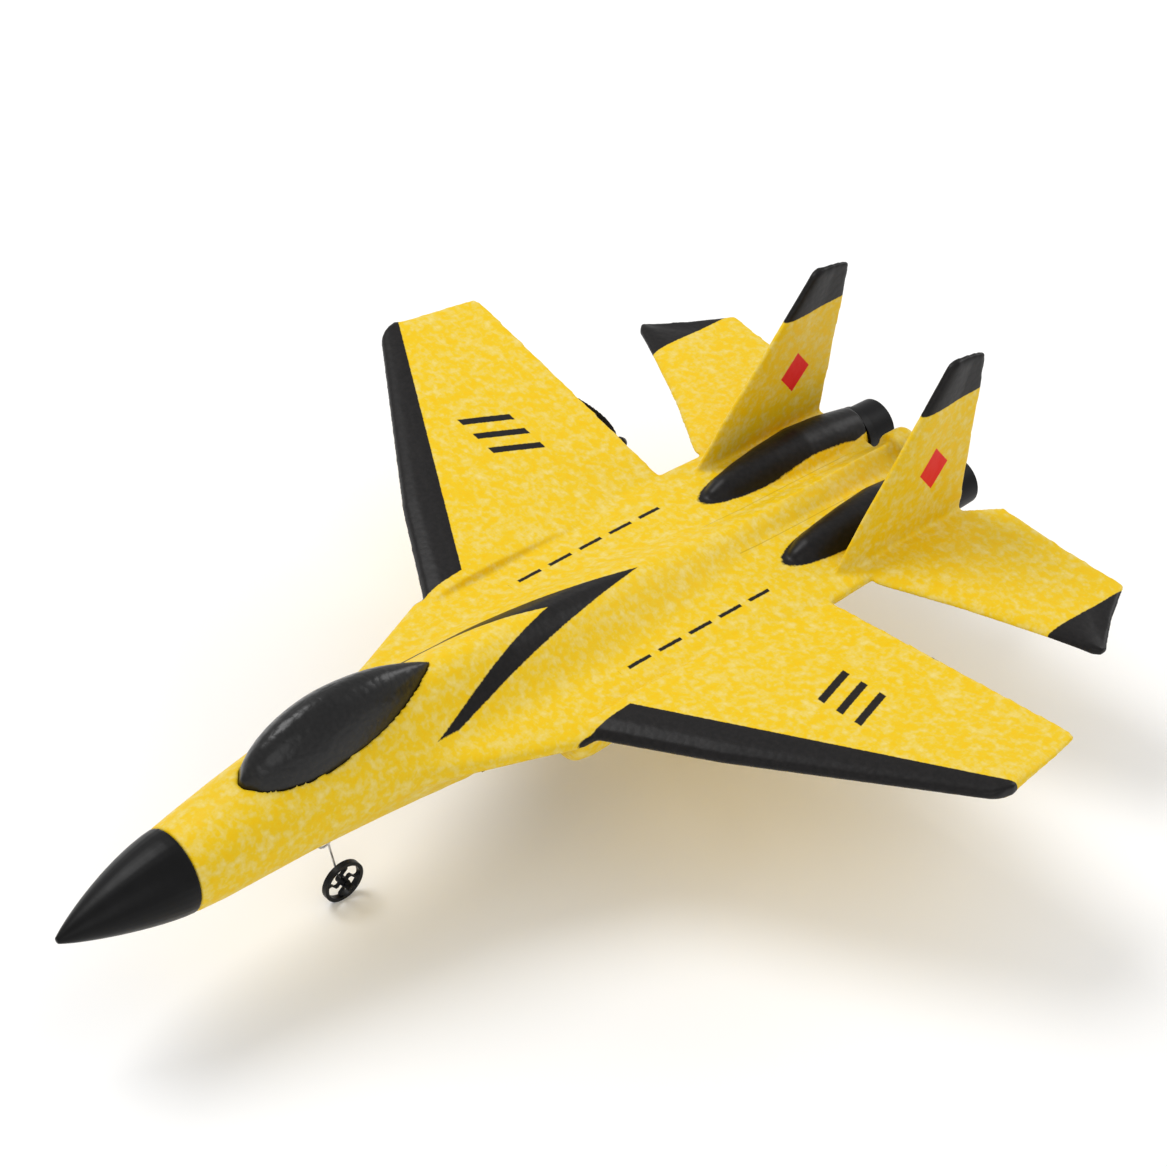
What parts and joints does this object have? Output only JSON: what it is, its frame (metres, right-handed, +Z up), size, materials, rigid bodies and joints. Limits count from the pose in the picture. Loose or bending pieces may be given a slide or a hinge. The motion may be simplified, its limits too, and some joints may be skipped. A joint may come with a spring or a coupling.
{
  "type": "radio-controlled glider",
  "caption": "Foam jet-shaped radio-controlled glider with pusher propellers behind the wing, spoked wheels on sprung wire legs, and a hinged battery hatch in the belly.",
  "frame": {"origin": "on the ground under the wheels, midway between the nose tip and the rearmost point of the tail, on the centre plane", "axes": "+Z up, -Y towards the nose, +X towards the aircraft's own left wing"},
  "size_m": [0.2956, 0.3654, 0.1267],
  "materials": {
    "foam": "moulded expanded polypropylene bead foam, mottled yellow",
    "nose_plastic": "satin black",
    "black_foam": "bead foam with matt black paint",
    "black_plastic": "satin injection-moulded",
    "carbon": "pultruded carbon rod",
    "motor_can": "bright metal can",
    "spring_wire": "drawn spring steel",
    "propeller_plastic": "satin injection-moulded",
    "lead_sleeve": "insulated wire",
    "cell_wrap": "shrink-wrapped foil pouch",
    "white_plastic": "moulded",
    "circuit_board": "solder mask",
    "antenna_sleeve": "insulated wire",
    "switch_metal": "moulded",
    "wheel_plastic": "satin injection-moulded"
  },
  "bodies": {
    "airframe": {"fuselage_top": "foam", "fuselage_bottom": "foam", "nose_cone": "nose_plastic", "canopy": "black_foam", "left_wing": "foam", "right_wing": "foam", "left_stabilizer": "foam", "right_stabilizer": "foam", "left_fin": "foam", "right_fin": "foam", "left_engine_fairing": "black_foam", "right_engine_fairing": "black_foam", "left_nozzle": "black_plastic", "right_nozzle": "black_plastic", "left_intake": "foam", "right_intake": "foam", "tail_boom": "foam", "wing_spar": "carbon", "left_motor_mount": "black_plastic", "right_motor_mount": "black_plastic", "left_motor": "motor_can", "right_motor": "motor_can", "left_motor_lead": "lead_sleeve", "right_motor_lead": "lead_sleeve", "battery_tray": "black_plastic", "battery": "cell_wrap", "battery_plug": "white_plastic", "receiver_board": "circuit_board", "antenna": "antenna_sleeve", "switch_body": "black_plastic", "nose_gear_wire": "spring_wire", "left_gear_wire": "spring_wire", "right_gear_wire": "spring_wire", "nose_gear_socket": "black_plastic", "left_gear_socket": "black_plastic", "right_gear_socket": "black_plastic", "nose_axle_cap": "black_plastic", "left_axle_cap": "black_plastic", "right_axle_cap": "black_plastic"},
    "left_rotor": {"left_motor_shaft": "spring_wire", "left_propeller": "propeller_plastic"},
    "right_rotor": {"right_motor_shaft": "spring_wire", "right_propeller": "propeller_plastic"},
    "nose_wheel_body": {"nose_wheel": "wheel_plastic"},
    "left_wheel_body": {"left_wheel": "wheel_plastic"},
    "right_wheel_body": {"right_wheel": "wheel_plastic"},
    "hatch_body": {"battery_hatch": "black_plastic"},
    "slider_body": {"switch_slider": "switch_metal"}
  },
  "joints": [
    {"name": "left_propeller_spin", "type": "hinge", "parent": "airframe", "child": "left_rotor", "pos_m": [0.07, 0.1043, 0.0517], "axis": [0, 1, 0], "continuous": true},
    {"name": "right_propeller_spin", "type": "hinge", "parent": "airframe", "child": "right_rotor", "pos_m": [-0.07, 0.1043, 0.0517], "axis": [0, 1, 0], "continuous": true},
    {"name": "nose_wheel_roll", "type": "hinge", "parent": "airframe", "child": "nose_wheel_body", "pos_m": [0.0015, -0.0748, 0.0076], "axis": [1, 0, 0], "continuous": true},
    {"name": "left_wheel_roll", "type": "hinge", "parent": "airframe", "child": "left_wheel_body", "pos_m": [0.0266, 0.0835, 0.0076], "axis": [1, 0, 0], "continuous": true},
    {"name": "right_wheel_roll", "type": "hinge", "parent": "airframe", "child": "right_wheel_body", "pos_m": [-0.0266, 0.0835, 0.0076], "axis": [1, 0, 0], "continuous": true},
    {"name": "battery_hatch_hinge", "type": "hinge", "parent": "airframe", "child": "hatch_body", "pos_m": [0.0125, -0.0027, 0.042], "axis": [0, -1, 0], "range_deg": [0, 100]},
    {"name": "switch_slide", "type": "slide", "parent": "airframe", "child": "slider_body", "axis": [1, 0, 0], "range_m": [0, 0.002]}
  ]
}
